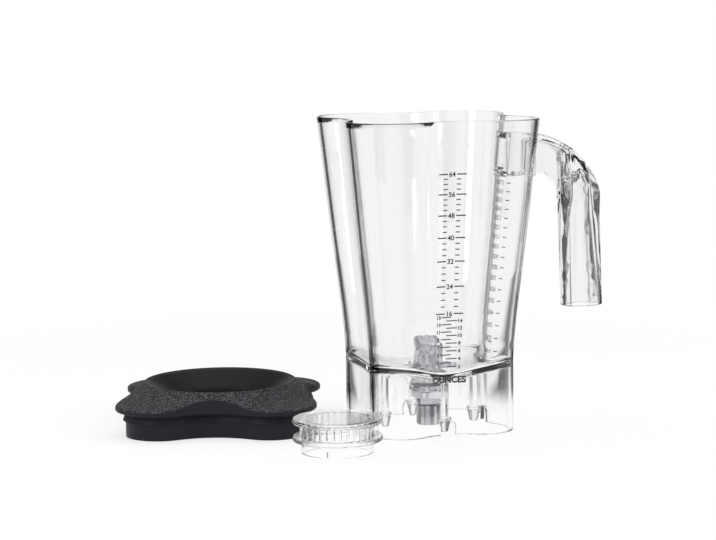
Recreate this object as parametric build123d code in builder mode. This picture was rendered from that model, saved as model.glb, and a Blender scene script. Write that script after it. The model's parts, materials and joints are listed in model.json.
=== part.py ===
from build123d import *
from math import cos, radians, sin, sqrt
import os

os.makedirs("parts", exist_ok=True)

# The origin is on the jar's axis in the plane that the jar stands on.
# Z is up, X points to the handle and the ounce scale is on the -Y side. All sizes are in millimetres.

# Jar shell: a square plan with four round corner lobes and four hollow sides
rim_height = 243.8
rim_half = 76.7
rim_lobe = 36.2
rim_sag = 11.3
base_half = 56.6
base_lobe = 24.3
base_sag = 9.1
flare_start = 65.0
flare_blend = 0.1
flare_power = 0.9
body_low = 24.0
body_steps = 6
wall = 3.5
rim_round = 0.8

# Floor: a shallow bowl with a flat middle, and the skirt that carries it
floor_slope = 0.35
floor_flat = 15.0
floor_top = 37.0
floor_thick = 4.4
boss_under = 29.0
floor_fillet = 6.0
ledge_height = 50.0
skirt_proud = 0.5
skirt_draft = 0.2
skirt_high = 60.0
ledge_rise = 1.5
skirt_wall = 3.2
notch_width = 12.5
notch_height = 12.0
notch_start = 43.3

# Locating posts under the floor
post_circle = 37.6
post_radius = 3.2
cup_top = 12.0
cup_radius = 5.4
cup_wall = 1.0
cup_depth = 2.6
post_tip = 0.8
tip_radius = 3.0

# Pouring bevels inside the two lobes away from the handle
pour_depth = 6.5
pour_width = 2.2
pour_under = 1.8

# Handle
strap_thick = 6.0
strap_half = 14.0
strap_root = (88.0, 229.0)
strap_mid = (118.3, 215.2)
strap_end = (140.8, 180.5)
strap_rise = 1.5
strap_cut = (3.0, 9.0)
root_low = 196.0
root_out = 86.0
root_inner = 58.0
root_core_wall = 4.0
root_core_in = 71.5
root_core_depth = 25.0
root_core_round = 3.0
web_half = 3.0
web_knee = (98.5, 197.0)
web_foot = (108.9, 184.5)
web_end = (116.0, 214.0)
grip_x = 30.5
grip_y = 32.0
grip_round = 8.0
grip_wall = 3.5
grip_low = (129.9, 90.0)
grip_high = (127.5, 173.5)
grip_core = 94.0
grip_core_draw = 8.5

# Lid, standing off the jar
lid_x = -156.1
lid_y = 58.2
lid_turn = -17.4
plug_clearance = 2.5
plug_lobe = 27.7
plug_sag = 12.7
plug_wall = 5.0
tab_reach = 8.0
tab_low = 20.0
rib_low = 13.0
rib_high = 17.0
rib_proud = 2.2
dish_land = 6.0
dish_top = 35.8
dish_floor = 23.2
dish_flat = 35.0
lid_skin = 4.7
lid_rise = 7.5
collar_wall = 4.0
shoulder_out = 8.0
shoulder_drop = 5.2
tip_out = 40.0
tip_drop = 10.6
tab_round = 2.5
tab_round_low = 1.5
cap_fit = 0.5

# Filler cap, standing off the lid
cap_x = -98.6
cap_y = -80.4
cap_tube = 27.2
cap_bore = 24.4
cap_collar = 34.0
cap_collar_low = 9.2
cap_collar_thick = 3.2
cap_disc_low = 22.4
cap_top = 25.8
cap_roof = 22.8
cap_ribs = 32
cap_rib_radius = 1.1
cap_slot_width = 1.6
cap_slot_height = 4.5
cap_slot_turn = -121.6

# Blade drive: radii, then heights from the bottom up
running_gap = 0.05
slip_gap = 0.05
shaft_radius = 4.0
bush_radius = 6.0
stem_radius = 9.0
flange_radius = 13.0
neck_radius = 10.0
seal_radius = 7.0
hole_gap = 0.3
nut_flats = 24.0
blade_nut_flats = 13.0
washer_radius = 7.2
coupling_radius = 8.7
socket_radius = 5.2
spline_radius = 1.1
spline_count = 8
coupling_low = 0.6
socket_top = 8.6
coupling_high = 16.2
stem_low = 16.8
bush_length = 8.5
nut_low = 22.5
lock_washer_thick = 1.0
gasket_thick = 1.0
flange_thick = 3.5
housing_top = 44.0
seal_thick = 2.3
thrust_gap = 0.3
washer_thick = 1.0
blade_thick = 2.0
blade_nut_height = 5.5
blade_nut_dome = 4.0
lower_blade_turn = 3.0
upper_blade_turn = 73.1
lower_blade_reach = 23.0
lower_blade_width = 14.0
wing_angle = 62.0
wing_length = 22.0
wing_root_width = 19.5
wing_tip_width = 15.5

# Values that follow from the sizes above
floor_under = floor_top - floor_thick
stem_top = floor_top + gasket_thick
flange_top = stem_top + flange_thick
thrust_low = housing_top + thrust_gap
lower_blade_low = thrust_low + washer_thick
spacer_low = lower_blade_low + blade_thick
upper_blade_low = spacer_low + washer_thick
top_washer_low = upper_blade_low + blade_thick
blade_nut_low = top_washer_low + washer_thick
shaft_top = blade_nut_low + blade_nut_height + 1.5
lock_washer_low = boss_under - lock_washer_thick
plug_half = rim_half - wall - plug_clearance
lid_hole = cap_tube + cap_fit
dish_radius = plug_half + tab_reach - plug_sag - dish_land
lid_shoulder = (dish_radius + shoulder_out, dish_top - shoulder_drop)
lid_tip = (dish_radius + tip_out, dish_top - tip_drop)
lid_reach = 2 * dish_radius
lid_clear = 2 * dish_top


# A lobed outline: lobe circles at the corners, joined by hollow arcs that are tangent to them
def lobed(half, lobe, sag):
    near = half - lobe
    waist = half - sag
    hollow = (near**2 + (waist - near) ** 2 - lobe**2) / (2 * sag)
    centre = waist + hollow
    share = hollow / (hollow + lobe)
    touch = Vector(centre + (near - centre) * share, near * share)
    mirror = Vector(touch.X, -touch.Y)
    crest = Vector(near + lobe / sqrt(2), near + lobe / sqrt(2))
    with BuildLine() as outline:
        for quarter in range(4):
            turn = 90 * quarter
            first = mirror.rotate(Axis.Z, turn)
            middle = Vector(waist, 0).rotate(Axis.Z, turn)
            second = touch.rotate(Axis.Z, turn)
            following = mirror.rotate(Axis.Z, turn + 90)
            ThreePointArc(first, middle, second)
            ThreePointArc(second, crest.rotate(Axis.Z, turn), following)
    make_face(outline.edges())


# The jar's plan at a height: upright at the floor, then bending softly into an even flare up to the rim
def body_plan(height, inset):
    rise = (height - flare_start) / (rim_height - flare_start)
    ramp = (rise + sqrt(rise**2 + flare_blend**2)) / (1 + sqrt(1 + flare_blend**2))
    flare = ramp**flare_power
    half = base_half + (rim_half - base_half) * flare
    lobe = base_lobe + (rim_lobe - base_lobe) * flare
    sag = base_sag + (rim_sag - base_sag) * flare
    return half - inset, lobe - inset, sag


# The skirt's plan at a height, a little proud of the body's foot and drawn in towards the table
def skirt_plan(height, inset):
    draw = skirt_draft * (1 - height / ledge_height)
    return body_plan(ledge_height, inset + draw - skirt_proud)


# The height of a bowl surface whose flat middle is at the given height
def bowl(middle, radius):
    return middle + floor_slope * (radius - floor_flat)


# The upright plane through the axis of something that stands at a given place
def upright(place):
    return Plane(origin=place.origin, x_dir=place.x_dir, z_dir=-place.y_dir)


# Section heights of the body, closer together towards both ends so that the lofted wall doesn't ripple
body_heights = []
for step in range(body_steps + 1):
    share = (1 - cos(radians(180 * step / body_steps))) / 2
    body_heights.append(body_low + (rim_height - body_low) * share)

bowl_reach = 120.0

# Inside of the jar above the floor
with BuildPart() as jar_hollow:
    for height in body_heights:
        with BuildSketch(Plane.XY.offset(height)):
            lobed(*body_plan(height, wall))
    loft()
    with BuildSketch(Plane.XZ):
        with BuildLine():
            Polyline(
                (0, 0),
                (bowl_reach, 0),
                (bowl_reach, bowl(floor_top, bowl_reach)),
                (floor_flat, floor_top),
                (0, floor_top),
                close=True,
            )
        make_face()
    revolve(axis=Axis.Z, mode=Mode.SUBTRACT)
    bowl_face = jar_hollow.faces().filter_by(GeomType.CONE)
    fillet(bowl_face.edges().filter_by(GeomType.BSPLINE), floor_fillet)

# The skirt, ending upwards at a bowl surface that makes the ledge
with BuildPart() as skirt:
    for height in (0.0, skirt_high):
        with BuildSketch(Plane.XY.offset(height)):
            lobed(*skirt_plan(height, 0))
    loft()
    with BuildSketch(Plane.XZ):
        with BuildLine():
            Polyline(
                (0, 2 * skirt_high),
                (0, floor_under),
                (floor_flat, floor_under),
                (bowl_reach, bowl(floor_under, bowl_reach) + ledge_rise),
                (bowl_reach, 2 * skirt_high),
                close=True,
            )
        make_face()
    revolve(axis=Axis.Z, mode=Mode.SUBTRACT)

# Space under the floor
with BuildPart() as skirt_hollow:
    for height in (0.0, skirt_high):
        with BuildSketch(Plane.XY.offset(height)):
            lobed(*skirt_plan(height, skirt_wall))
    loft()
    with BuildSketch(Plane.XZ):
        with BuildLine():
            Polyline(
                (0, 2 * skirt_high),
                (0, boss_under),
                (floor_flat, boss_under),
                (floor_flat, floor_under),
                (bowl_reach, bowl(floor_under, bowl_reach)),
                (bowl_reach, 2 * skirt_high),
                close=True,
            )
        make_face()
    revolve(axis=Axis.Z, mode=Mode.SUBTRACT)

# One locating post, with the cup round its lower end
with BuildPart() as post:
    with BuildSketch(Plane.XZ):
        with BuildLine():
            Polyline(
                (0, post_tip + 1.2),
                (tip_radius - 1.2, post_tip + 1.2),
                (tip_radius - 1.2, post_tip),
                (tip_radius, post_tip),
                (cup_radius, cup_top - 2.0),
                (cup_radius, cup_top),
                (cup_radius - cup_wall, cup_top),
                (post_radius, cup_top - cup_depth),
                (post_radius, bowl(floor_under, post_circle) + 2.0),
                (0, bowl(floor_under, post_circle) + 2.0),
                close=True,
            )
        make_face()
    revolve(axis=Axis.Z)

# One arched notch in the lower edge of a hollow side
with BuildPart() as notch:
    with BuildSketch(Plane.XZ.offset(notch_start)):
        Rectangle(notch_width, notch_height - notch_width / 2, align=(Align.CENTER, Align.MIN))
        with Locations((0, notch_height - notch_width / 2)):
            Circle(notch_width / 2)
    extrude(amount=12)

# Handle: arched strap, cored root, web and hollow grip
grip_lean = Vector(grip_high[0] - grip_low[0], 0, grip_high[1] - grip_low[1]).normalized()
grip_plane = Plane(
    origin=(grip_low[0], 0, grip_low[1]),
    x_dir=(grip_lean.Z, 0, -grip_lean.X),
    z_dir=grip_lean,
)

with BuildPart() as handle:
    with BuildSketch(Plane.XZ):
        with BuildLine():
            Line((root_inner, strap_root[1] + strap_rise), strap_root)
            outer = ThreePointArc(strap_root, strap_mid, strap_end)
            inner_end = (strap_end[0] - strap_thick, strap_end[1])
            Line(strap_end, inner_end)
            ThreePointArc(
                inner_end,
                (strap_mid[0] - strap_thick * 0.61, strap_mid[1] - strap_thick * 0.79),
                (strap_root[0] - 1.0, strap_root[1] - strap_thick),
            )
            Line((strap_root[0] - 1.0, strap_root[1] - strap_thick), (root_inner, strap_root[1] - strap_thick))
            Line((root_inner, strap_root[1] - strap_thick), (root_inner, strap_root[1] + strap_rise))
        make_face()
    extrude(amount=strap_half, both=True)
    with BuildSketch(grip_plane):
        RectangleRounded(grip_x, grip_y, grip_round)
    extrude(amount=strap_root[1] - grip_low[1])
    with BuildSketch(Plane.XZ):
        with BuildLine():
            ThreePointArc(strap_root, strap_mid, strap_end)
            Polyline(
                strap_end,
                (strap_end[0] + strap_cut[0], strap_end[1] - strap_cut[1]),
                (2 * strap_end[0], strap_end[1] - strap_cut[1]),
                (2 * strap_end[0], 2 * strap_root[1]),
                (strap_root[0], 2 * strap_root[1]),
                strap_root,
            )
        make_face()
    extrude(amount=grip_y, both=True, mode=Mode.SUBTRACT)
    with BuildSketch(Plane.XZ):
        with BuildLine():
            Polyline(
                (root_inner, root_low),
                (root_out, root_low),
                (root_out, strap_root[1] - 2.0),
                (root_inner, strap_root[1] - 2.0),
                close=True,
            )
        make_face()
    extrude(amount=strap_half, both=True)
    with BuildSketch(Plane.XZ):
        with BuildLine():
            Polyline(
                (root_out - 1, web_knee[1]),
                web_knee,
                web_foot,
                (web_end[0], web_foot[1]),
                web_end,
                (root_out - 1, strap_root[1] - 3.0),
                close=True,
            )
        make_face()
    extrude(amount=web_half, both=True)
    for depth in (0.0, grip_core):
        inset = 2 * grip_wall + grip_core_draw * depth / grip_core
        with BuildSketch(grip_plane.offset(depth)):
            RectangleRounded(grip_x - inset, grip_y - inset, grip_round - grip_wall)
    loft(mode=Mode.SUBTRACT)
    with BuildSketch(Plane.XY.offset(root_low)):
        with Locations(((root_core_in + root_out - root_core_wall) / 2, 0)):
            RectangleRounded(root_out - root_core_wall - root_core_in, 2 * (strap_half - root_core_wall), root_core_round)
    extrude(amount=root_core_depth, taper=1.0, mode=Mode.SUBTRACT)

# The jar: one moulding of shell, floor, skirt, posts and handle
with BuildPart() as jar:
    for height in body_heights:
        with BuildSketch(Plane.XY.offset(height)):
            lobed(*body_plan(height, 0))
    loft()
    fillet(jar.edges().group_by(Axis.Z)[-1], rim_round)
    with BuildSketch(Plane.XZ):
        with BuildLine():
            Polyline(
                (0, 0),
                (bowl_reach, 0),
                (bowl_reach, bowl(floor_under, bowl_reach)),
                (floor_flat, floor_under),
                (0, floor_under),
                close=True,
            )
        make_face()
    revolve(axis=Axis.Z, mode=Mode.SUBTRACT)
    add(skirt.part)
    add(handle.part)
    add(jar_hollow.part, mode=Mode.SUBTRACT)
    add(skirt_hollow.part, mode=Mode.SUBTRACT)
    with PolarLocations(post_circle, 4):
        add(post.part)
    with PolarLocations(0, 4):
        add(notch.part, mode=Mode.SUBTRACT)
    with Locations((0, 0, boss_under)):
        Cylinder(
            stem_radius + hole_gap,
            floor_top - boss_under,
            align=(Align.CENTER, Align.CENTER, Align.MIN),
            mode=Mode.SUBTRACT,
        )
    pour_half, pour_lobe, pour_sag = body_plan(rim_height, wall)
    pour_at = pour_half - pour_lobe
    with Locations((-pour_at, pour_at, rim_height), (-pour_at, -pour_at, rim_height)):
        Cone(
            pour_lobe - pour_under,
            pour_lobe + pour_width,
            pour_depth,
            align=(Align.CENTER, Align.CENTER, Align.MAX),
            mode=Mode.SUBTRACT,
        )
jar.part.label = "jar"
export_step(jar.part, "parts/jar.step")

# Space inside the lid, open at the bottom
lid_place = Plane(
    origin=(lid_x, lid_y, 0),
    x_dir=(cos(radians(lid_turn)), sin(radians(lid_turn)), 0),
    z_dir=(0, 0, 1),
)
lid_axis = Axis((lid_x, lid_y, 0), (0, 0, 1))

with BuildPart() as lid_hollow:
    with BuildSketch(lid_place):
        lobed(plug_half - plug_wall, plug_lobe - plug_wall, plug_sag)
    extrude(amount=dish_top)
    with BuildSketch(upright(lid_place)):
        with BuildLine():
            dish_under = dish_floor - lid_skin
            Polyline(
                (0, -1),
                (lid_hole + collar_wall, -1),
                (lid_hole + collar_wall, dish_under),
                (dish_flat + 1.0, dish_under),
                (dish_radius - 6.0, dish_under + lid_rise),
                (lid_shoulder[0] - 4.0, dish_under + lid_rise - 1.5),
                (lid_reach, lid_tip[1] - lid_skin),
                (lid_reach, lid_clear),
                (0, lid_clear),
                close=True,
            )
        make_face()
    revolve(axis=lid_axis, mode=Mode.SUBTRACT)

# Top of the lid: four corner tabs with rounded edges, cut to a slope that falls away from the dish
with BuildPart() as lid_top:
    with BuildSketch(lid_place.offset(tab_low)):
        lobed(plug_half + tab_reach, plug_lobe + tab_reach, plug_sag)
    extrude(amount=dish_top - tab_low + 5)
    with BuildSketch(upright(lid_place)):
        with BuildLine():
            crest_in = (dish_radius - 2.0, dish_top - 0.6)
            crest_out = (dish_radius + 0.6, dish_top - 0.7)
            Polyline((0, lid_clear), (0, dish_floor), (dish_flat, dish_floor), crest_in)
            ThreePointArc(crest_in, (dish_radius - 0.8, dish_top), crest_out)
            ThreePointArc(crest_out, lid_shoulder, lid_tip)
            Polyline(lid_tip, (lid_reach, lid_tip[1]), (lid_reach, lid_clear), (0, lid_clear))
        make_face()
    revolve(axis=lid_axis, mode=Mode.SUBTRACT)
    tab_walls = lid_top.faces().filter_by(lambda face: abs(face.normal_at().Z) < 0.01)
    tab_edges = tab_walls.edges().filter_by(Axis.Z, reverse=True)
    fillet(tab_edges.filter_by_position(Axis.Z, tab_low + 3, lid_clear), tab_round)
    fillet(lid_top.edges().group_by(Axis.Z)[0], tab_round_low)

# Lid: a rubber plug with a sealing rib under that top, with a hole for the cap
with BuildPart() as lid:
    with BuildSketch(lid_place):
        lobed(plug_half, plug_lobe, plug_sag)
    extrude(amount=tab_low + 1)
    with BuildSketch(lid_place.offset(rib_low)):
        lobed(plug_half + rib_proud, plug_lobe + rib_proud, plug_sag)
    extrude(amount=rib_high - rib_low, taper=20)
    add(lid_top.part)
    add(lid_hollow.part, mode=Mode.SUBTRACT)
    with BuildSketch(lid_place):
        Circle(lid_hole)
    extrude(amount=dish_top, mode=Mode.SUBTRACT)
lid.part.label = "lid"
export_step(lid.part, "parts/lid.step")

# Filler cap: top disc, ribbed neck, collar and an open tube
cap_place = Plane(origin=(cap_x, cap_y, 0), x_dir=(1, 0, 0), z_dir=(0, 0, 1))
cap_axis = Axis((cap_x, cap_y, 0), (0, 0, 1))
cap_collar_high = cap_collar_low + cap_collar_thick

with BuildPart() as filler_cap:
    with BuildSketch(upright(cap_place)):
        with BuildLine():
            Polyline(
                (0, cap_roof),
                (cap_bore - 0.8, cap_roof),
                (cap_bore, 0),
                (cap_tube, 0),
                (cap_tube + 0.2, cap_collar_low),
                (cap_collar - 0.6, cap_collar_low),
                (cap_collar, cap_collar_low + 0.8),
                (cap_collar, cap_collar_high - 0.8),
                (cap_collar - 0.6, cap_collar_high),
                (cap_tube, cap_collar_high),
                (cap_tube, cap_disc_low),
                (cap_collar - 0.8, cap_disc_low),
                (cap_collar, cap_disc_low + 0.9),
                (cap_collar, cap_top - 0.9),
                (cap_collar - 0.8, cap_top),
                (0, cap_top),
                close=True,
            )
        make_face()
    revolve(axis=cap_axis)
    with BuildSketch(cap_place.offset(cap_collar_high)):
        with PolarLocations(cap_tube, cap_ribs):
            Circle(cap_rib_radius)
    extrude(amount=cap_disc_low - cap_collar_high)
    with BuildSketch(cap_place):
        with PolarLocations((cap_bore + cap_tube) / 2, 1, start_angle=cap_slot_turn):
            Rectangle(8, cap_slot_width)
    extrude(amount=cap_slot_height, mode=Mode.SUBTRACT)
filler_cap.part.label = "filler_cap"
export_step(filler_cap.part, "parts/filler_cap.step")


# A plain ring between two heights
def ring(outer, inner, low, thick):
    with Locations((0, 0, low)):
        Cylinder(outer, thick, align=(Align.CENTER, Align.CENTER, Align.MIN))
        Cylinder(inner, thick, align=(Align.CENTER, Align.CENTER, Align.MIN), mode=Mode.SUBTRACT)


# Bearing housing: flange on the floor, neck above it and a threaded stem through the floor
with BuildPart() as bearing_housing:
    with BuildSketch(Plane.XZ):
        with BuildLine():
            Polyline(
                (bush_radius, stem_low),
                (stem_radius - 0.8, stem_low),
                (stem_radius, stem_low + 0.8),
                (stem_radius, stem_top),
                (flange_radius, stem_top),
                (flange_radius, flange_top - 1.0),
                (flange_radius - 1.0, flange_top),
                (neck_radius + 0.5, flange_top),
                (neck_radius, housing_top - 0.4),
                (neck_radius - 0.4, housing_top),
                (seal_radius, housing_top),
                (seal_radius, housing_top - seal_thick),
                (bush_radius, housing_top - seal_thick),
                close=True,
            )
        make_face()
    revolve(axis=Axis.Z)
bearing_housing.part.label = "bearing_housing"
export_step(bearing_housing.part, "parts/bearing_housing.step")

with BuildPart() as floor_gasket:
    ring(flange_radius, stem_radius + hole_gap, floor_top, gasket_thick)
floor_gasket.part.label = "floor_gasket"
export_step(floor_gasket.part, "parts/floor_gasket.step")

with BuildPart() as lock_washer:
    ring(flange_radius, stem_radius + slip_gap, lock_washer_low, lock_washer_thick)
lock_washer.part.label = "lock_washer"
export_step(lock_washer.part, "parts/lock_washer.step")

# Retaining nut with its corners turned off on both faces
with BuildPart() as retaining_nut:
    with BuildSketch(Plane.XY.offset(nut_low)):
        RegularPolygon(nut_flats / 2, 6, major_radius=False)
        Circle(stem_radius + slip_gap, mode=Mode.SUBTRACT)
    extrude(amount=lock_washer_low - nut_low)
    with BuildSketch(Plane.XZ):
        with BuildLine():
            Polyline(
                (0, nut_low),
                (nut_flats / 2, nut_low),
                (nut_flats / 2 + 2.0, nut_low + 1.2),
                (nut_flats / 2 + 2.0, lock_washer_low - 1.2),
                (nut_flats / 2, lock_washer_low),
                (0, lock_washer_low),
                close=True,
            )
        make_face()
    revolve(axis=Axis.Z, mode=Mode.INTERSECT)
retaining_nut.part.label = "retaining_nut"
export_step(retaining_nut.part, "parts/retaining_nut.step")

with BuildPart() as upper_bush:
    upper_bush_low = housing_top - seal_thick - bush_length
    ring(bush_radius, shaft_radius + running_gap, upper_bush_low, bush_length)
upper_bush.part.label = "upper_bush"
export_step(upper_bush.part, "parts/upper_bush.step")

with BuildPart() as lower_bush:
    ring(bush_radius, shaft_radius + running_gap, stem_low, bush_length)
lower_bush.part.label = "lower_bush"
export_step(lower_bush.part, "parts/lower_bush.step")

with BuildPart() as shaft_seal:
    ring(seal_radius, shaft_radius + running_gap, housing_top - seal_thick, seal_thick)
shaft_seal.part.label = "shaft_seal"
export_step(shaft_seal.part, "parts/shaft_seal.step")

# Shaft, chamfered at both ends
with BuildPart() as shaft:
    with BuildSketch(Plane.XZ):
        with BuildLine():
            Polyline(
                (0, socket_top),
                (shaft_radius - 0.6, socket_top),
                (shaft_radius, socket_top + 0.6),
                (shaft_radius, shaft_top - 0.8),
                (shaft_radius - 0.8, shaft_top),
                (0, shaft_top),
                close=True,
            )
        make_face()
    revolve(axis=Axis.Z)
shaft.part.label = "shaft"
export_step(shaft.part, "parts/shaft.step")

with BuildPart() as thrust_washer:
    ring(washer_radius, shaft_radius + slip_gap, thrust_low, washer_thick)
thrust_washer.part.label = "thrust_washer"
export_step(thrust_washer.part, "parts/thrust_washer.step")

# Lower blade: a flat cross-strip with two tapered wings, ground to an edge on the leading side
lower_place = Plane(
    origin=(0, 0, lower_blade_low),
    x_dir=(cos(radians(lower_blade_turn)), sin(radians(lower_blade_turn)), 0),
    z_dir=(0, 0, 1),
)

with BuildPart() as lower_blade:
    with BuildSketch(lower_place):
        Circle(washer_radius + 0.8)
        with BuildLine():
            Polyline(
                (-lower_blade_reach, lower_blade_width * 0.10),
                (-lower_blade_reach + 5, -lower_blade_width * 0.42),
                (-5, -lower_blade_width * 0.5),
                (5, -lower_blade_width * 0.5),
                (lower_blade_reach, -lower_blade_width * 0.10),
                (lower_blade_reach - 5, lower_blade_width * 0.42),
                (5, lower_blade_width * 0.5),
                (-5, lower_blade_width * 0.5),
                close=True,
            )
        make_face()
        Circle(shaft_radius + slip_gap, mode=Mode.SUBTRACT)
    extrude(amount=blade_thick)
lower_blade.part.label = "lower_blade"
export_step(lower_blade.part, "parts/lower_blade.step")

with BuildPart() as blade_spacer:
    ring(washer_radius, shaft_radius + slip_gap, spacer_low, washer_thick)
blade_spacer.part.label = "blade_spacer"
export_step(blade_spacer.part, "parts/blade_spacer.step")

# Upper blade: a hub plate with two broad wings bent steeply upwards
upper_place = Plane(
    origin=(0, 0, upper_blade_low),
    x_dir=(cos(radians(upper_blade_turn)), sin(radians(upper_blade_turn)), 0),
    z_dir=(0, 0, 1),
)
hub_reach = washer_radius + 1.6


# The plane of one wing, hinged at the end of the hub plate and tilted up
def wing_plane(side):
    out = upper_place.x_dir * side
    across = upper_place.z_dir.cross(out)
    rise = out * cos(radians(wing_angle)) + upper_place.z_dir * sin(radians(wing_angle))
    return Plane(
        origin=upper_place.origin + out * hub_reach,
        x_dir=rise,
        z_dir=rise.cross(across),
    )


with BuildPart() as upper_blade:
    with BuildSketch(upper_place):
        Rectangle(2 * hub_reach + 1.2, wing_root_width)
        Circle(shaft_radius + slip_gap, mode=Mode.SUBTRACT)
    extrude(amount=blade_thick)
    for side in (1, -1):
        with BuildSketch(wing_plane(side)):
            with BuildLine():
                Polyline(
                    (0, -wing_root_width / 2),
                    (wing_length - 5, -wing_root_width / 2),
                    (wing_length, -wing_tip_width / 2 + 4),
                    (wing_length, wing_tip_width / 2),
                    (wing_length - 2, wing_root_width / 2),
                    (0, wing_root_width / 2),
                    close=True,
                )
            make_face()
        extrude(amount=blade_thick)
upper_blade.part.label = "upper_blade"
export_step(upper_blade.part, "parts/upper_blade.step")

with BuildPart() as top_washer:
    ring(washer_radius, shaft_radius + slip_gap, top_washer_low, washer_thick)
top_washer.part.label = "top_washer"
export_step(top_washer.part, "parts/top_washer.step")

# Domed blade nut: a hexagon turned to a dome on top, bored from below
with BuildPart() as blade_nut:
    with BuildSketch(Plane.XY.offset(blade_nut_low)):
        RegularPolygon(blade_nut_flats / 2, 6, major_radius=False)
    extrude(amount=blade_nut_height + blade_nut_dome)
    with BuildSketch(Plane.XZ):
        with BuildLine():
            dome_low = blade_nut_low + blade_nut_height
            dome_high = dome_low + blade_nut_dome
            corner = blade_nut_flats * 0.59
            Polyline((0, dome_high), (0, blade_nut_low), (corner, blade_nut_low), (corner, dome_low))
            ThreePointArc((corner, dome_low), (corner * 0.62, dome_low + blade_nut_dome * 0.7), (0, dome_high))
        make_face()
    revolve(axis=Axis.Z, mode=Mode.INTERSECT)
    with BuildSketch(Plane.XY.offset(blade_nut_low)):
        Circle(shaft_radius + slip_gap)
    extrude(amount=shaft_top - blade_nut_low + 0.4, mode=Mode.SUBTRACT)
blade_nut.part.label = "blade_nut"
export_step(blade_nut.part, "parts/blade_nut.step")

# Drive coupling: a splined socket below, closed round the shaft above
with BuildPart() as drive_coupling:
    with BuildSketch(Plane.XZ):
        with BuildLine():
            Polyline(
                (0, coupling_low),
                (coupling_radius - 0.8, coupling_low),
                (coupling_radius, coupling_low + 0.8),
                (coupling_radius, coupling_high - 0.8),
                (coupling_radius - 0.8, coupling_high),
                (0, coupling_high),
                close=True,
            )
        make_face()
    revolve(axis=Axis.Z)
    with BuildSketch(Plane.XY.offset(coupling_low)):
        Circle(socket_radius)
        with PolarLocations(socket_radius, spline_count):
            Circle(spline_radius)
    extrude(amount=socket_top - coupling_low, mode=Mode.SUBTRACT)
    with BuildSketch(Plane.XY.offset(socket_top)):
        Circle(shaft_radius + slip_gap)
    extrude(amount=coupling_high - socket_top, mode=Mode.SUBTRACT)
drive_coupling.part.label = "drive_coupling"
export_step(drive_coupling.part, "parts/drive_coupling.step")
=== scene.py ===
import json
import math
import bmesh
import bpy
import numpy as np
from mathutils import Matrix, Vector
from mathutils.bvhtree import BVHTree

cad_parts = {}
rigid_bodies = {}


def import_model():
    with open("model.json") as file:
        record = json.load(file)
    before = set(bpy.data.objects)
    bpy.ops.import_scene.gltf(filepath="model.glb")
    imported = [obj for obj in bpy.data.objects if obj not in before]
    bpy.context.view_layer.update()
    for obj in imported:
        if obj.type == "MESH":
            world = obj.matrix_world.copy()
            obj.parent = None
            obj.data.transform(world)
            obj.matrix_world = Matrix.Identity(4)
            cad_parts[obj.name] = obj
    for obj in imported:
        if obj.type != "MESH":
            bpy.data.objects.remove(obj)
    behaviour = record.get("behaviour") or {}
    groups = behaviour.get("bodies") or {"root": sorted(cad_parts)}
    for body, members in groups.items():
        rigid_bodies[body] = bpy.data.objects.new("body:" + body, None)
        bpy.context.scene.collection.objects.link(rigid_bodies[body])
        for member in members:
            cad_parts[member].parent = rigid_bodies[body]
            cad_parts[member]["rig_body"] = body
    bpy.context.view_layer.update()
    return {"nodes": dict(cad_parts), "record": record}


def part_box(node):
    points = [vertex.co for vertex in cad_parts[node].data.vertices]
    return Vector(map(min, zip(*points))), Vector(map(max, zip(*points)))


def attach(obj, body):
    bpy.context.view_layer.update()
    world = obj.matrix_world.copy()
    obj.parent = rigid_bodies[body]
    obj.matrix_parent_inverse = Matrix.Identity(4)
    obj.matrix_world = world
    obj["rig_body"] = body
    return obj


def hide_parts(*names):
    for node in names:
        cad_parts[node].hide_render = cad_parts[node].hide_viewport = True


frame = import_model()
nodes = frame["nodes"]
mm = 0.001
vertical = Vector((0, 0, 1))


# A socket that does sums: the operators add Math nodes, and node() adds any other node
class Wire:
    def __init__(self, tree, socket=None):
        self.tree = tree
        self.socket = socket

    def node(self, kind, settings=None, values=None, pick=0):
        made = self.tree.nodes.new(kind)
        for key, value in (settings or {}).items():
            if key == "stops":
                ramp = made.color_ramp.elements
                while len(ramp) < len(value):
                    ramp.new(0.5)
                for element, (place, shade) in zip(ramp, value):
                    element.position = place
                    element.color = (shade, shade, shade, 1)
            else:
                setattr(made, key, value)
        for key, value in (values or {}).items():
            if isinstance(value, Wire):
                self.tree.links.new(value.socket, made.inputs[key])
            else:
                made.inputs[key].default_value = value
        return Wire(self.tree, made.outputs[pick] if len(made.outputs) else None)

    def sum(self, operation, first, second):
        return self.node("ShaderNodeMath", {"operation": operation}, {0: first, 1: second})

    def __add__(self, other):
        return self.sum("ADD", self, other)

    def __radd__(self, other):
        return self.sum("ADD", other, self)

    def __sub__(self, other):
        return self.sum("SUBTRACT", self, other)

    def __rsub__(self, other):
        return self.sum("SUBTRACT", other, self)

    def __mul__(self, other):
        return self.sum("MULTIPLY", self, other)

    def __rmul__(self, other):
        return self.sum("MULTIPLY", other, self)

    def __truediv__(self, other):
        return self.sum("DIVIDE", self, other)

    # 0 below low, 1 above high and a smooth step between
    def step(self, low, high):
        settings = {"interpolation_type": "SMOOTHSTEP"}
        values = {"Value": self, "From Min": low, "From Max": high}
        return self.node("ShaderNodeMapRange", settings, values)


# A new material with an empty tree; surface() ends it
def newFinish(name):
    finish = bpy.data.materials.new(name)
    finish.use_nodes = True
    finish.node_tree.nodes.clear()
    return finish, Wire(finish.node_tree)


def surface(wire, shader):
    wire.node("ShaderNodeOutputMaterial", None, {"Surface": shader})


# Object coordinates, moved so that centre is at zero
def placeOn(wire, centre=(0, 0, 0)):
    coords = wire.node("ShaderNodeTexCoord", None, None, "Object")
    return wire.node("ShaderNodeMapping", None, {"Vector": coords, "Location": [-c for c in centre]})


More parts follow.
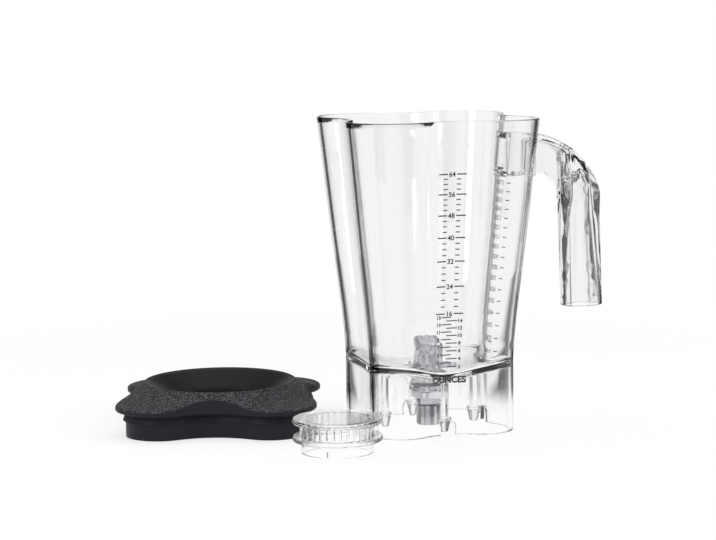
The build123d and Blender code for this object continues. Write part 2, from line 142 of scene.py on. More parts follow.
def noise(wire, coords, scale, detail=2.0, stretch=None):
    if stretch:
        coords = wire.node("ShaderNodeMapping", None, {"Vector": coords, "Scale": stretch})
    return wire.node("ShaderNodeTexNoise", None, {"Vector": coords, "Scale": scale, "Detail": detail})


# A Mix node's colours are its inputs 6 and 7 and its output 2
def mixColour(wire, factor, first, second):
    return wire.node("ShaderNodeMix", {"data_type": "RGBA"}, {0: factor, 6: first, 7: second}, 2)


def dotOf(wire, vector, axis):
    return wire.node("ShaderNodeVectorMath", {"operation": "DOT_PRODUCT"}, {0: vector, 1: axis}, "Value")


def lengthOf(wire, vector):
    return wire.node("ShaderNodeVectorMath", {"operation": "LENGTH"}, {0: vector}, "Value")


def bump(wire, height, depth, **more):
    return wire.node("ShaderNodeBump", None, {"Height": height, "Distance": depth, "Strength": 1.0, **more})


# Clear moulded plastic: bends light, lets the lamps through, and its skin is very slightly wavy
clearLook = {"tint": (0.972, 0.976, 0.98, 1), "ior": 1.49, "waveScale": 30, "waveDetail": 1.0,
             "waveDepth": 0.01 * mm, "roughLow": 0.0, "roughHigh": 0.02, "edge": 1.2 * mm, "edgeSamples": 6}
capLook = {**clearLook, "tint": (0.985, 0.987, 0.99, 1), "waveScale": 60,
           "roughLow": 0.05, "roughHigh": 0.11, "edge": 0.4 * mm}


def makeClear(name, look):
    finish, wire = newFinish(name)
    waves = noise(wire, placeOn(wire), look["waveScale"], look["waveDetail"])
    haze = look["roughLow"] + waves * (look["roughHigh"] - look["roughLow"])
    soft = wire.node("ShaderNodeBevel", {"samples": look["edgeSamples"]}, {"Radius": look["edge"]})
    body = wire.node("ShaderNodeBsdfPrincipled", None, {
        "Base Color": look["tint"], "Roughness": haze, "IOR": look["ior"], "Transmission Weight": 1.0,
        "Normal": bump(wire, waves, look["waveDepth"], Normal=soft)})
    lampRay = wire.node("ShaderNodeLightPath", None, None, "Is Shadow Ray")
    gap = wire.node("ShaderNodeBsdfTransparent", None, {"Color": look["tint"]})
    surface(wire, wire.node("ShaderNodeMixShader", None, {0: lampRay, 1: body, 2: gap}))
    return finish


# Black rubber: a pebbled grain on the sloping top with painted highlights, and a smooth skin on the wall and in the
# dish
lidLow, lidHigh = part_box("lid")
lidCentre = [(lidLow[i] + lidHigh[i]) / 2 for i in range(2)] + [0]
# pale paints highlights on the grain's specks; dish is a darker colour that paints shade in the dish
rubberLook = {"dark": (0.0165, 0.0156, 0.0205, 1), "dish": (0.004, 0.004, 0.0046, 1),
              "valley": (0.016, 0.0152, 0.0178, 1), "pale": (0.095, 0.092, 0.10, 1),
              "dishEdge": 57.4 * mm, "edgeBlend": 2 * mm, "tabLow": 19.0 * mm, "tabBlend": 1 * mm,
              "topSlope": (0.2, 0.4), "dishSlope": (0, 0.2),
              "grain": 850, "fineGrain": 1.7, "speckGrain": 0.9, "speckStep": (0.44, 0.66),
              "pebbleShare": 0.7, "skinShare": 0.02, "depth": 0.3 * mm,
              "rough": 0.42, "topRough": 0.2, "fineRough": 0.06, "gloss": 0.12}


def makeRubber(name, look):
    finish, wire = newFinish(name)
    coords = placeOn(wire, lidCentre)
    flat = wire.node("ShaderNodeVectorMath", {"operation": "MULTIPLY"}, {0: coords, 1: (1, 1, 0)})
    reach = lengthOf(wire, flat)
    facing = wire.node("ShaderNodeTexCoord", None, None, "Normal")
    upward = dotOf(wire, facing, vertical)
    edge = look["dishEdge"]
    high = dotOf(wire, coords, vertical).step(look["tabLow"], look["tabLow"] + look["tabBlend"])
    top = reach.step(edge, edge + look["edgeBlend"]) * upward.step(*look["topSlope"]) * high
    dishShadeMask = (1 - reach.step(edge - look["edgeBlend"], edge)) * upward.step(*look["dishSlope"])
    grain = wire.node("ShaderNodeTexVoronoi", None, {"Vector": coords, "Scale": look["grain"]}, "Distance")
    fine = noise(wire, coords, look["grain"] * look["fineGrain"])
    speck = noise(wire, coords, look["grain"] * look["speckGrain"])
    pebble = (1 - grain) * look["pebbleShare"] + fine * (1 - look["pebbleShare"])
    # Pale specks on the upward-facing top: painted highlights where light catches the grain
    speckHighlights = mixColour(wire, speck.step(*look["speckStep"]), look["valley"], look["pale"])
    # The dish is coloured darker than the wall: painted shade
    smooth = mixColour(wire, dishShadeMask, look["dark"], look["dish"])
    surface(wire, wire.node("ShaderNodeBsdfPrincipled", None, {
        "Base Color": mixColour(wire, top, smooth, speckHighlights),
        "Roughness": look["rough"] + top * look["topRough"] + fine * look["fineRough"],
        "Specular IOR Level": look["gloss"],
        "Normal": bump(wire, top * pebble + fine * look["skinShare"], look["depth"])}))
    return finish


# Metal with fine turning or grinding marks, stretched along one axis, and softer stains; some finishes below also
# paint reflections
metalLook = {"markStep": (0.35, 0.65), "markShare": 0.6, "stains": 60, "stainStep": (0.38, 0.62),
             "markRough": 0.08, "depth": 0.004 * mm}
turnedLook = {**metalLook, "dark": (0.42, 0.42, 0.44, 1), "pale": (0.62, 0.62, 0.64, 1),
              "rough": 0.05, "marks": 500, "stretch": (0.2, 0.2, 2)}
# Drive coupling: its dark and pale vertical streaks are painted reflection stripes
reflectionStripeLook = {**metalLook, "dark": (0.06, 0.06, 0.07, 1), "pale": (0.74, 0.74, 0.76, 1),
              "rough": 0.12, "marks": 210, "stretch": (1, 1, 0.02)}
paleLook = {**turnedLook, "dark": (0.78, 0.78, 0.80, 1), "pale": (0.96, 0.96, 0.97, 1), "rough": 0.35}
# Blades: grinding marks, with dark and pale patches that are partly painted reflection
bladeLook = {**metalLook, "dark": (0.18, 0.18, 0.20, 1), "pale": (0.64, 0.64, 0.66, 1),
             "rough": 0.16, "marks": 400, "stretch": (1, 0.3, 0.3), "stains": 150}
bronzeLook = {**metalLook, "dark": (0.36, 0.22, 0.10, 1), "pale": (0.56, 0.36, 0.18, 1),
              "rough": 0.3, "marks": 900, "stretch": (1, 1, 1)}


def makeMetal(name, look):
    finish, wire = newFinish(name)
    coords = placeOn(wire)
    marks = noise(wire, coords, look["marks"], stretch=look["stretch"])
    stains = noise(wire, coords, look["stains"]).step(*look["stainStep"])
    share = marks.step(*look["markStep"]) * look["markShare"] + stains * (1 - look["markShare"])
    surface(wire, wire.node("ShaderNodeBsdfPrincipled", None, {
        "Base Color": mixColour(wire, share, look["dark"], look["pale"]), "Metallic": 1.0,
        "Roughness": look["rough"] + marks * look["markRough"],
        "Normal": bump(wire, marks, look["depth"])}))
    return finish


# Plain mat material with a little mottling, for seals and printed ink
matLook = {"detail": 3.0, "mottleRough": 0.1}
sealLook = {**matLook, "dark": (0.012, 0.012, 0.013, 1), "pale": (0.03, 0.03, 0.032, 1),
            "rough": 0.5, "scale": 400}
inkLook = {**matLook, "dark": (0.012, 0.012, 0.014, 1), "pale": (0.035, 0.035, 0.038, 1),
           "rough": 0.45, "scale": 900}


def makeMat(name, look):
    finish, wire = newFinish(name)
    mottle = noise(wire, placeOn(wire), look["scale"], look["detail"])
    surface(wire, wire.node("ShaderNodeBsdfPrincipled", None, {
        "Base Color": mixColour(wire, mottle, look["dark"], look["pale"]),
        "Roughness": look["rough"] + mottle * look["mottleRough"]}))
    return finish


ink = makeMat("scaleInk", inkLook)
finishOf = {"clear_plastic": makeClear("clearPlastic", clearLook),
            "black_rubber": makeRubber("blackRubber", rubberLook),
            "steel": makeMetal("turnedSteel", turnedLook),
            "blade_steel": makeMetal("groundSteelAndReflections", bladeLook),
            "bronze": makeMetal("bearingBronze", bronzeLook),
            "seal_rubber": makeMat("sealRubber", sealLook)}
ownFinish = {"filler_cap": makeClear("clearCapPlastic", capLook),
             # The coupling's finish paints reflection stripes
             "drive_coupling": makeMetal("reflectionStripeSteel", reflectionStripeLook),
             "retaining_nut": makeMetal("paleSteel", paleLook)}
slotOf = {row["node"]: row["material_slot"] for row in frame["record"]["subparts"]}
print("finishes made:", len(finishOf) + len(ownFinish) + 1)


# One property of a mesh's vertices, loops or polygons, as rows of the given width
def readAll(items, key, width, kind=float):
    values = np.empty(len(items) * width, kind)
    items.foreach_get(key, values)
    return values.reshape(-1, width)


# The handle, in millimetres. Grip: its axis in the plane y = 0, the half sizes and corner of its section, where
# the oval fades out above, and its core's end. Strap: three points of its arc. Root: the box round its pocket and
# the share of the pocket's depth that is kept. The cuts give the bends enough points
gripForm = {"low": (129.9, 90.0), "high": (127.5, 173.5), "half": (15.25, 16.0), "corner": 0.51, "from": 108.0,
            "fade": (158.0, 186.0), "swell": 1.09, "cuts": range(-12, 13, 3), "rings": (120, 150, 160, 168, 176),
            "core": 94.0, "coreNear": 0.3, "coreWithin": 1.1, "coreReach": 0.6, "dome": 16.0}
strapForm = {"root": (88.0, 229.0), "middle": (118.3, 215.2), "end": (140.8, 180.5), "thick": 6.0, "half": 14.0,
             "gripHalf": 16.0, "round": 2.9, "cuts": (11.2, 12.1, 13.0, 13.6), "faceBand": (2.0, 3.6)}
rootForm = {"low": (66.0, -13.0, 196.5), "high": (85.0, 13.0, 223.0), "under": 196.0, "kept": 0.12}
cutNear = 0.01 * mm


# Cuts the handle's faces along planes, so that it can be bent, and leaves triangles
def cutHandle(shell, low, across):
    planes = [(low + across * cut, across) for cut in gripForm["cuts"]]
    planes += [((0, cut, 0), (0, 1, 0)) for cut in gripForm["cuts"]]
    planes += [((0, 0, height), vertical) for height in gripForm["rings"]]
    planes += [((0, side * cut, 0), (0, 1, 0)) for cut in strapForm["cuts"] for side in (-1, 1)]
    for place, facing in planes:
        grip = [f for f in shell.faces if f.calc_center_median().x > strapForm["root"][0] * mm]
        parts = set(grip) | {e for f in grip for e in f.edges} | {v for f in grip for v in f.verts}
        bmesh.ops.bisect_plane(shell, geom=list(parts), dist=cutNear,
                               plane_co=Vector(place) * mm, plane_no=facing)
    bmesh.ops.triangulate(shell, faces=shell.faces)


# The strap's long edges are half round: past half - round, both of its faces close in on the middle of the strap
# by round - sqrt(round^2 - over^2), along the radius of the circle through its three points
def strapEdges(places):
    (ax, az), (bx, bz), (cx, cz) = (strapForm[key] for key in ("root", "middle", "end"))
    squares = np.array((bx**2 + bz**2 - ax**2 - az**2, cx**2 + cz**2 - ax**2 - az**2)) / 2
    middle = np.linalg.solve(np.array(((bx - ax, bz - az), (cx - ax, cz - az))), squares)
    radius = math.hypot(ax - middle[0], az - middle[1]) - strapForm["thick"] / 2
    spoke = places[:, (0, 2)] - middle
    length = np.linalg.norm(spoke, axis=1)
    out = length - radius
    onGrip = places[:, 0] > gripForm["low"][0] - gripForm["half"][0]
    half = np.where(onGrip, strapForm["gripHalf"], strapForm["half"])
    over = np.clip(abs(places[:, 1]) - half + strapForm["round"], 0, strapForm["round"])
    sink = strapForm["round"] - np.sqrt(strapForm["round"]**2 - over**2)
    turned = (places[:, 0] > strapForm["root"][0]) & (places[:, 2] > strapForm["end"][1])
    bandLow, bandHigh = strapForm["faceBand"]
    faces = turned & (abs(out) > bandLow) & (abs(out) < bandHigh) & ((out > 0) | ~onGrip)
    shift = np.where(faces, -np.sign(out) * sink, 0) / length
    return np.stack([spoke[:, 0] * shift, np.zeros_like(shift), spoke[:, 1] * shift], 1)


# The grip is moulded as an oval tube with a domed core: in a section with sides at 1, a point at the angle f
# moves in from the rounded square, R(f), to a circle of radius swell, and the core's end rises by
# dome * (1 - (reach / coreReach)^2)
def roundHandle(shell, mesh):
    low, high = (np.array((x, 0, z)) for x, z in (gripForm["low"], gripForm["high"]))
    lean = (high - low) / np.linalg.norm(high - low)
    across = np.cross((0, 1.0, 0), lean)
    cutHandle(shell, low, across)
    shell.to_mesh(mesh)
    places = readAll(mesh.vertices, "co", 3) / mm
    along = (places - low) @ lean
    side, depth = (places - low) @ across / gripForm["half"][0], places[:, 1] / gripForm["half"][1]
    reach = np.hypot(side, depth) + 1e-9
    far, near = np.maximum(abs(side), abs(depth)) / reach, np.minimum(abs(side), abs(depth)) / reach
    middle = 1 - gripForm["corner"]
    dot = middle * (far + near)
    atCorner = dot + np.sqrt(np.maximum(0, dot**2 - 2 * middle**2 + gripForm["corner"]**2))
    square = np.where(near / far < middle, 1 / far, atCorner)
    fadeLow, fadeHigh = gripForm["fade"]
    rise = np.clip((fadeHigh - places[:, 2]) / (fadeHigh - fadeLow), 0, 1)
    onGrip = places[:, 0] > gripForm["from"]
    share = rise**2 * (3 - 2 * rise) * onGrip
    pull = share * (gripForm["swell"] / square - 1)
    moved = places + pull[:, None] * (places - low - along[:, None] * lean)
    end = (abs(along - gripForm["core"]) < gripForm["coreNear"]) & (reach < gripForm["coreWithin"]) & onGrip
    lift = gripForm["dome"] * np.maximum(0, 1 - (reach / gripForm["coreReach"])**2)
    moved += (end * lift)[:, None] * lean
    moved += strapEdges(places)
    pocket = ((places > rootForm["low"]) & (places < rootForm["high"])).all(axis=1)
    moved[pocket, 2] = rootForm["under"] + (moved[pocket, 2] - rootForm["under"]) * rootForm["kept"]
    mesh.vertices.foreach_set("co", (moved * mm).ravel())
    mesh.update()
    print("handle rounded:", int((share > 0).sum()), "points, core's end", int(end.sum()),
          "pocket", int(pocket.sum()))


# A smooth skin over one solid: its own triangles, merged, with the edges past the angle kept sharp
skinLook = {"weld": 0.002 * mm, "edgeAngle": 28}


def smoothSkin(name, look):
    mesh = nodes[name].data.copy()
    mesh.name = name + "Skin"
    welded = bmesh.new()
    welded.from_mesh(mesh)
    bmesh.ops.remove_doubles(welded, verts=welded.verts, dist=look["weld"])
    if name == "jar":
        roundHandle(welded, mesh)
    else:
        welded.to_mesh(mesh)
    welded.free()
    if mesh.has_custom_normals:
        mesh.attributes.remove(mesh.attributes["custom_normal"])
    mesh.polygons.foreach_set("use_smooth", np.ones(len(mesh.polygons), bool))
    mesh.set_sharp_from_angle(angle=math.radians(look["edgeAngle"]))
    mesh.materials.clear()
    mesh.materials.append(ownFinish.get(name, finishOf[slotOf[name]]))
    skin = bpy.data.objects.new(name + "Skin", mesh)
    bpy.context.scene.collection.objects.link(skin)
    even = skin.modifiers.new("evenNormals", "WEIGHTED_NORMAL")
    even.mode = "FACE_AREA_WITH_ANGLE"
    even.keep_sharp = True
    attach(skin, nodes[name]["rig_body"])
    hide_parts(name)
    return skin


skins = {name: smoothSkin(name, skinLook) for name in nodes}
print("skins made:", len(skins))

# The jar, in millimetres. Its lobed plan is (half width, lobe radius, hollow depth) at the rim and at the foot
jarForm = {"rim": (76.7, 36.2, 11.3), "foot": (56.6, 24.3, 9.1), "rimHeight": 243.8, "low": 24.0, "sections": 6,
           "flareStart": 65.0, "flareBlend": 0.1, "flarePower": 0.9, "wall": 3.5,
           "ledge": 50.0, "proud": 0.5, "draft": 0.2, "skirtWall": 3.2,
           "floorSlope": 0.35, "floorFlat": 15.0, "floorTop": 37.0, "floorThick": 4.4}


# Plan at height z: foot + (rim - foot) * flare, where flare is the polynomial through the section heights of
# ((r + sqrt(r^2 + b^2)) / (1 + sqrt(1 + b^2)))^power with r = (z - start) / (rimHeight - start)
def planAt(z, form):
    share = (1 - np.cos(np.pi * np.arange(form["sections"] + 1) / form["sections"])) / 2
    heights = form["low"] + (form["rimHeight"] - form["low"]) * share
    rise = (heights - form["flareStart"]) / (form["rimHeight"] - form["flareStart"])
    blend = form["flareBlend"]
    flares = ((rise + np.sqrt(rise**2 + blend**2)) / (1 + math.sqrt(1 + blend**2))) ** form["flarePower"]
    flare = np.polynomial.Polynomial.fit(heights, flares, form["sections"])(z)
    return [foot + (rim - foot) * flare for rim, foot in zip(form["rim"], form["foot"])]


# Radius of the hollow circle that touches the two lobe circles of a side and leaves its waist where it is
def hollowOf(near, waist, lobe, sag):
    return (near**2 + (waist - near)**2 - lobe**2) / (2 * sag)


# How far points lie outside a lobed plan: past the lobe circle, or short of the hollow circle between two lobes
def outsideOf(points, plan, inset):
    half, lobe, sag = plan[0] - inset, plan[1] - inset, plan[2]
    near, waist = half - lobe, half - sag
    hollow = hollowOf(near, waist, lobe, sag)
    flat = np.abs(points[:, :2])
    long, short = flat.max(axis=1), flat.min(axis=1)
    pastLobe = np.hypot(long - near, short - near) - lobe
    shortOfHollow = hollow - np.hypot(long - waist - hollow, short)
    inLobe = (waist + hollow - near) * (short - near) + near * (long - near) > 0
    return np.where(inLobe, pastLobe, shortOfHollow)


def bodyForm(points, inset):
    return outsideOf(points, planAt(points[:, 2], jarForm), inset)


def skirtForm(points, inset):
    draw = jarForm["draft"] * (1 - points[:, 2] / jarForm["ledge"]) - jarForm["proud"]
    return outsideOf(points, planAt(jarForm["ledge"], jarForm), inset + draw)


def floorForm(points, drop):
    reach = np.hypot(points[:, 0], points[:, 1])
    return points[:, 2] - (jarForm["floorTop"] - drop + jarForm["floorSlope"] * (reach - jarForm["floorFlat"]))


# True normals for the jar's walls and floor: the slope of each form, taken at the corners that lie on it. A corner
# lies on a form when it is near it, in millimetres, and its triangle's normal agrees with the slope
def trueNormals(skin, forms, near=0.35, agree=0.985, step=0.02):
    mesh = skin.evaluated_get(bpy.context.evaluated_depsgraph_get()).data
    index = readAll(mesh.loops, "vertex_index", 1, int)[:, 0]
    corners = readAll(mesh.vertices, "co", 3)[index] / mm
    normals = readAll(mesh.corner_normals, "vector", 3)
    sides = np.repeat(readAll(mesh.polygons, "normal", 3), 3, axis=0)
    fixed = 0
    for form, size, sign in forms:
        slope = np.stack([form(corners + step * axis, size) - form(corners - step * axis, size)
                          for axis in np.eye(3)], 1) * sign
        slope /= np.linalg.norm(slope, axis=1)[:, None]
        on = (np.abs(form(corners, size)) < near) & ((slope * sides).sum(axis=1) > agree)
        normals[on] = slope[on]
        fixed += on.sum()
    skin.modifiers.clear()
    skin.data.normals_split_custom_set(normals.tolist())
    print(skin.name, "normals set:", fixed, "of", len(index))


trueNormals(skins["jar"], [(bodyForm, 0, 1), (bodyForm, jarForm["wall"], -1),
                           (skirtForm, 0, 1), (skirtForm, jarForm["skirtWall"], -1),
                           (floorForm, 0, 1), (floorForm, jarForm["floorThick"], -1)])

# Survey of the jar by rays from its axis: how much it holds up to each height
survey = {"low": 38.5 * mm, "high": 236 * mm, "levels": 80, "turns": 72}
jarMesh = nodes["jar"].data
jarTree = BVHTree.FromPolygons(readAll(jarMesh.vertices, "co", 3).tolist(),
                               readAll(jarMesh.polygons, "vertices", 3, int).tolist())
levels = np.linspace(survey["low"], survey["high"], survey["levels"])
turns = np.arange(survey["turns"]) * 2 * math.pi / survey["turns"]


def reachOf(start, heading):
    return jarTree.ray_cast(Vector(start), Vector(heading))[3] or 0.0


# Area of a plan cut into narrow sectors: half the sum of radius squared times the angle
radii = np.array([[reachOf((0, 0, z), (math.cos(t), math.sin(t), 0)) for t in turns] for z in levels])
areas = 0.5 * (radii**2).sum(axis=1) * 2 * math.pi / survey["turns"]
held = np.concatenate([[0], np.cumsum((areas[1:] + areas[:-1]) / 2 * np.diff(levels))])

# Measures, in cubic metres
millilitre = 1e-6
ounce = 29.5735 * millilitre

# Both scales are printed from one mark of known height; a printed measure is a little over the true one. The
# letters' capitals take capShare of the font's size
scaleLook = {"anchorOunces": 8, "anchorHeight": 72.0 * mm, "stretch": 1.0566, "film": 0.12 * mm,
             "filmThick": 0.04 * mm, "dashPieces": 6, "capShare": 0.72, "curveSteps": 3}


def markHeight(volume):
    start = np.interp(scaleLook["anchorHeight"], levels, held)
    true = start + (volume - scaleLook["anchorOunces"] * ounce) * scaleLook["stretch"]
    return float(np.interp(true, held, levels))


# Flat print laid on the hollow of a wall: a point (s, z) goes out from the axis to
# waist + hollow - sqrt(hollow^2 - s^2), plus the film, with the plan's sizes taken at z. Below the ledge it lies on
# the skirt, which stands proud of the wall by proud - draft * (1 - z / ledge)
def layOn(points, out, along, film):
    s, z = points[:, 0], points[:, 1]
    ledge = jarForm["ledge"]
    below = np.maximum(0, 1 - z / mm / ledge)
    proud = np.where(below > 0, jarForm["proud"] - jarForm["draft"] * below, 0)
    half, lobe, sag = planAt(np.maximum(z / mm, ledge), jarForm)
    half, lobe, sag = (half + proud) * mm, (lobe + proud) * mm, sag * mm
    waist = half - sag
    hollow = hollowOf(half - lobe, waist, lobe, sag)
    away = waist + hollow - np.sqrt(hollow**2 - s**2) + film
    return away[:, None] * np.array(out) + s[:, None] * np.array(along) + z[:, None] * np.array(vertical)


# Gathers flat polygons and puts them into one mesh
class Print:
    def __init__(self):
        self.points = []
        self.faces = []
        self.count = 0

    def add(self, points, faces):
        self.points.append(points)
        self.faces += [[i + self.count for i in face] for face in faces]
        self.count += len(points)

    # A dash is a strip of quads, so that it can follow the wall
    def dash(self, left, right, height, thick):
        pieces = scaleLook["dashPieces"]
        s = np.linspace(left, right, pieces + 1)
        rows = [np.stack([s, np.full_like(s, height + side * thick / 2)], 1) for side in (-1, 1)]
        faces = [(i, i + 1, i + pieces + 2, i + pieces + 1) for i in range(pieces)]
        self.add(np.concatenate(rows), faces)

    # Letters from the built-in font, with the middle of their height on the given height
    def words(self, text, place, height, size, align, weight):
        curve = bpy.data.curves.new("letters", "FONT")
        curve.body = text
        curve.size = size / scaleLook["capShare"]
        curve.align_x = align
        curve.offset = weight
        curve.resolution_u = scaleLook["curveSteps"]
        holder = bpy.data.objects.new("letters", curve)
        bpy.context.scene.collection.objects.link(holder)
        graph = bpy.context.evaluated_depsgraph_get()
        graph.update()
        mesh = bpy.data.meshes.new_from_object(holder.evaluated_get(graph))
        flat = readAll(mesh.vertices, "co", 3)[:, :2] + (place, height - size / 2)
        self.add(flat, [list(face.vertices) for face in mesh.polygons])
        bpy.data.objects.remove(holder)
        bpy.data.meshes.remove(mesh)
        bpy.data.curves.remove(curve)

    def make(self, name, out, along):
        places = layOn(np.concatenate(self.points), out, along, scaleLook["film"])
        mesh = bpy.data.meshes.new(name)
        mesh.from_pydata(places.tolist(), [], self.faces)
        mesh.materials.append(ink)
        made = bpy.data.objects.new(name, mesh)
        bpy.context.scene.collection.objects.link(made)
        body = made.modifiers.new("film", "SOLIDIFY")
        body.thickness = scaleLook["filmThick"]
        body.offset = 1.0
        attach(made, "jar_body")
        print(name, self.count, "points")


# Ounce scale in the middle of the front wall: a dash each side of every eighth ounce, with short dashes between,
# and below the first of them a number and a tick for each ounce, left and right in turn
ounceLook = {"lowest": 2, "first": 16, "last": 64, "each": 8, "between": 2,
             "dashIn": 3.6 * mm, "dashOut": 11.1 * mm, "shortOut": 7.0 * mm, "thick": 0.95 * mm, "thin": 0.8 * mm,
             "digits": 3.8 * mm, "small": 2.7 * mm, "tickFrom": -6.6 * mm, "tickTo": 2.0 * mm, "numberAt": 8.6 * mm,
             "wordHeight": 43.6 * mm, "word": 4.9 * mm, "weight": 0.14 * mm, "wordWeight": 0.32 * mm}


def makeOunces(look):
    scale = Print()
    for mark in range(look["first"], look["last"] + 1, look["each"]):
        z = markHeight(mark * ounce)
        for side in (-1, 1):
            scale.dash(side * look["dashIn"], side * look["dashOut"], z, look["thick"])
        scale.words(str(mark), 0, z, look["digits"], "CENTER", look["weight"])
    for mark in range(look["first"], look["last"], look["between"]):
        if mark % look["each"]:
            for side in (-1, 1):
                scale.dash(side * look["dashIn"], side * look["shortOut"], markHeight(mark * ounce), look["thin"])
    for mark in range(look["lowest"], look["first"]):
        z = markHeight(mark * ounce)
        side = -1 if mark % 2 else 1
        left, right = sorted((-side * look["tickFrom"], -side * look["tickTo"]))
        scale.dash(left, right, z, look["thin"])
        scale.words(str(mark), side * look["numberAt"], z, look["small"], "CENTER", look["weight"])
    scale.words("OUNCES", 0, look["wordHeight"], look["word"], "CENTER", look["wordWeight"])
    scale.make("ounceScale", (0, -1, 0), (1, 0, 0))


# Millilitre scale on the handle's side: a number and a tick for every hundred
millilitreLook = {"from": 100, "to": 1800, "step": 100, "digits": 4.0 * mm, "tickFrom": -18 * mm,
                  "tickTo": -14.3 * mm, "numberAt": -11.5 * mm, "thick": 0.8 * mm, "weight": 0.06 * mm}


def makeMillilitres(look):
    scale = Print()
    for mark in range(look["from"], look["to"] + 1, look["step"]):
        z = markHeight(mark * millilitre)
        scale.dash(look["tickFrom"], look["tickTo"], z, look["thick"])
        scale.words(str(mark), look["numberAt"], z, look["digits"], "LEFT", look["weight"])
    scale.make("millilitreScale", (1, 0, 0), (0, 1, 0))


makeOunces(ounceLook)
makeMillilitres(millilitreLook)

# Camera at the photograph's place: turned round the axis, moved aside, raised, pitched down and rolled. The focal
# length is in pixels of the photograph
photoCamera = {"azimuth": -16.523, "distance": 1.79996, "aside": -0.0549, "height": 0.34751, "pitch": 7.084,
               "roll": -0.702, "focal": 2301.37, "imageWidth": 716, "sensor": 36.0, "clipEnd": 50}


def makeCamera(look):
    turn, pitch, roll = (math.radians(look[key]) for key in ("azimuth", "pitch", "roll"))
    right = Vector((math.cos(turn), math.sin(turn), 0))
    level = Vector((-math.sin(turn), math.cos(turn), 0))
    ahead = level * math.cos(pitch) - vertical * math.sin(pitch)
    up = right.cross(ahead)
    rolledRight = right * math.cos(roll) + up * math.sin(roll)
    rolledUp = up * math.cos(roll) - right * math.sin(roll)
    data = bpy.data.cameras.new("photoCamera")
    data.sensor_width = look["sensor"]
    data.lens = look["focal"] * look["sensor"] / look["imageWidth"]
    data.clip_end = look["clipEnd"]
    camera = bpy.data.objects.new("photoCamera", data)
    place = right * look["aside"] - level * look["distance"] + vertical * look["height"]
    axes = Matrix((rolledRight, rolledUp, -ahead)).transposed().to_4x4()
    camera.matrix_world = Matrix.Translation(place) @ axes
    bpy.context.scene.collection.objects.link(camera)
    bpy.context.scene.camera = camera
    return level


lookLevel = makeCamera(photoCamera)

# What glass and metal see round the object, by the angle away from the view, in degrees: a bright screen behind it,
# dark flags beside that, bright walls, dark gaps and a bright front, all turned a little to the right. The ceiling
# goes by the sine of the height, with a dark band between the walls and a bright top
studioLook = {"ring": [(0, 0.95), (19, 0.94), (26, 0.05), (50, 0.05), (60, 0.9), (120, 0.95), (131, 0.2),
                       (150, 0.2), (158, 0.95), (180, 0.95)],
              "ceiling": [(0.0, 0.5), (0.38, 0.08), (0.58, 0.08), (0.70, 0.95), (1.0, 0.95)],
              "highFrom": 0.27, "highTo": 0.38, "fill": 0.75, "turn": 3.0}


def ringShade(wire, heading):
    side, ahead = dotOf(wire, heading, lookLevel.cross(vertical)), dotOf(wire, heading, lookLevel)
    off = wire.node("ShaderNodeMath", {"operation": "ARCTAN2"}, {0: side, 1: ahead})
    turned = off + math.radians(studioLook["turn"])
    away = wire.node("ShaderNodeMath", {"operation": "ABSOLUTE"}, {0: turned}) / math.pi
    stops = [(angle / 180, shade) for angle, shade in studioLook["ring"]]
    return wire.node("ShaderNodeValToRGB", {"stops": stops}, {0: away})


# 1 for rays straight from the camera, and 1 for rays that glass or metal has bent or thrown back
def raysOf(wire):
    path = wire.node("ShaderNodeLightPath").socket.node
    direct, glossy, through = (Wire(wire.tree, path.outputs[key])
                               for key in ("Is Camera Ray", "Is Glossy Ray", "Is Transmission Ray"))
    return direct, (glossy + through).step(0, 1)


# Pale floor: a round sheet, middle + radius * (cos t, sin t), that shows as white and still takes a soft shadow;
# glass sees the studio's ring on the part behind the jar
floorLook = {"radius": 0.75, "middle": (-0.05, 0.1), "rim": 96, "drop": 0.3 * mm, "paint": (0.9, 0.9, 0.9, 1),
             "keep": 0.30, "fadeFrom": 0.35, "fadeTo": 0.95, "ringFrom": 0.09, "ringTo": 0.20}


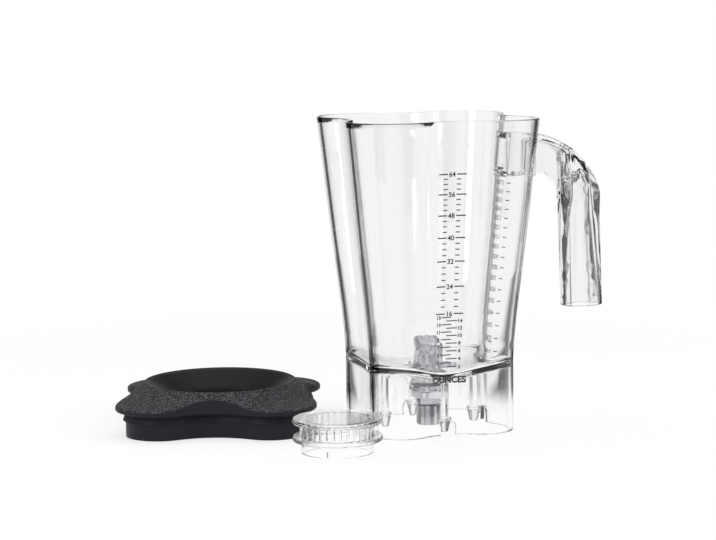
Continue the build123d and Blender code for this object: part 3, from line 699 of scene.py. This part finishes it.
def makeFloor(look):
    turn = np.arange(look["rim"]) * 2 * math.pi / look["rim"]
    rim = np.stack([look["middle"][0] + look["radius"] * np.cos(turn),
                    look["middle"][1] + look["radius"] * np.sin(turn), np.full_like(turn, -look["drop"])], 1)
    mesh = bpy.data.meshes.new("floor")
    mesh.from_pydata(rim.tolist(), [], [list(range(look["rim"]))])
    floor = bpy.data.objects.new("floor", mesh)
    bpy.context.scene.collection.objects.link(floor)
    finish, wire = newFinish("floorPaint")
    direct, bent = raysOf(wire)
    fromJar = placeOn(wire)
    behind = dotOf(wire, fromJar, lookLevel).step(0, look["ringFrom"])
    ringPart = lengthOf(wire, fromJar).step(look["ringFrom"], look["ringTo"]) * behind
    ring = 1 - (1 - ringShade(wire, fromJar)) * ringPart
    white = wire.node("ShaderNodeEmission", None, {"Color": (1, 1, 1, 1), "Strength": 1 - bent * (1 - ring)})
    paint = wire.node("ShaderNodeBsdfDiffuse", None, {"Color": look["paint"]})
    away = lengthOf(wire, placeOn(wire, (*look["middle"], 0))) / look["radius"]
    fade = 1 - look["keep"] * (1 - away.step(look["fadeFrom"], look["fadeTo"]))
    surface(wire, wire.node("ShaderNodeMixShader", None, {0: direct * fade + bent, 1: paint, 2: white}))
    mesh.materials.append(finish)


makeFloor(floorLook)


# The world: white to the eye, the studio's ring to glass and metal, and an even fill for everything else
def makeWorld(look):
    world = bpy.data.worlds.new("studio")
    bpy.context.scene.world = world
    world.use_nodes = True
    world.node_tree.nodes.clear()
    wire = Wire(world.node_tree)
    heading = wire.node("ShaderNodeTexCoord", None, None, "Generated")
    ring = ringShade(wire, heading)
    up = dotOf(wire, heading, vertical)
    ceiling = wire.node("ShaderNodeValToRGB", {"stops": look["ceiling"]}, {0: up})
    shade = ring + up.step(look["highFrom"], look["highTo"]) * (ceiling - ring)
    direct, bent = raysOf(wire)
    level = direct + (1 - direct) * (bent * shade + (1 - bent) * look["fill"])
    sky = wire.node("ShaderNodeBackground", None, {"Color": (1, 1, 1, 1), "Strength": level})
    wire.node("ShaderNodeOutputWorld", None, {"Surface": sky})


makeWorld(studioLook)

# Soft lamps: a large one overhead, and one at each side of the camera
lampLook = {"topLamp": {"place": (-0.1, 0.15, 1.6), "aim": (-0.05, 0, 0.1), "size": (1.4, 1.0), "power": 6.5},
            "leftLamp": {"place": (-1.5, -0.9, 0.9), "aim": (-0.05, 0, 0.12), "size": (0.6, 1.2), "power": 9.5},
            "rightLamp": {"place": (1.3, -1.1, 0.8), "aim": (0.05, 0, 0.12), "size": (0.5, 1.2), "power": 6}}


def makeLamp(name, look):
    data = bpy.data.lights.new(name, "AREA")
    data.shape = "RECTANGLE"
    data.size, data.size_y = look["size"]
    data.energy = look["power"]
    lamp = bpy.data.objects.new(name, data)
    lamp.location = look["place"]
    lamp.rotation_euler = (Vector(look["aim"]) - Vector(look["place"])).to_track_quat("-Z", "Y").to_euler()
    bpy.context.scene.collection.objects.link(lamp)


for name, look in lampLook.items():
    makeLamp(name, look)
bpy.context.scene.view_settings.view_transform = "Standard"
print("stage set")
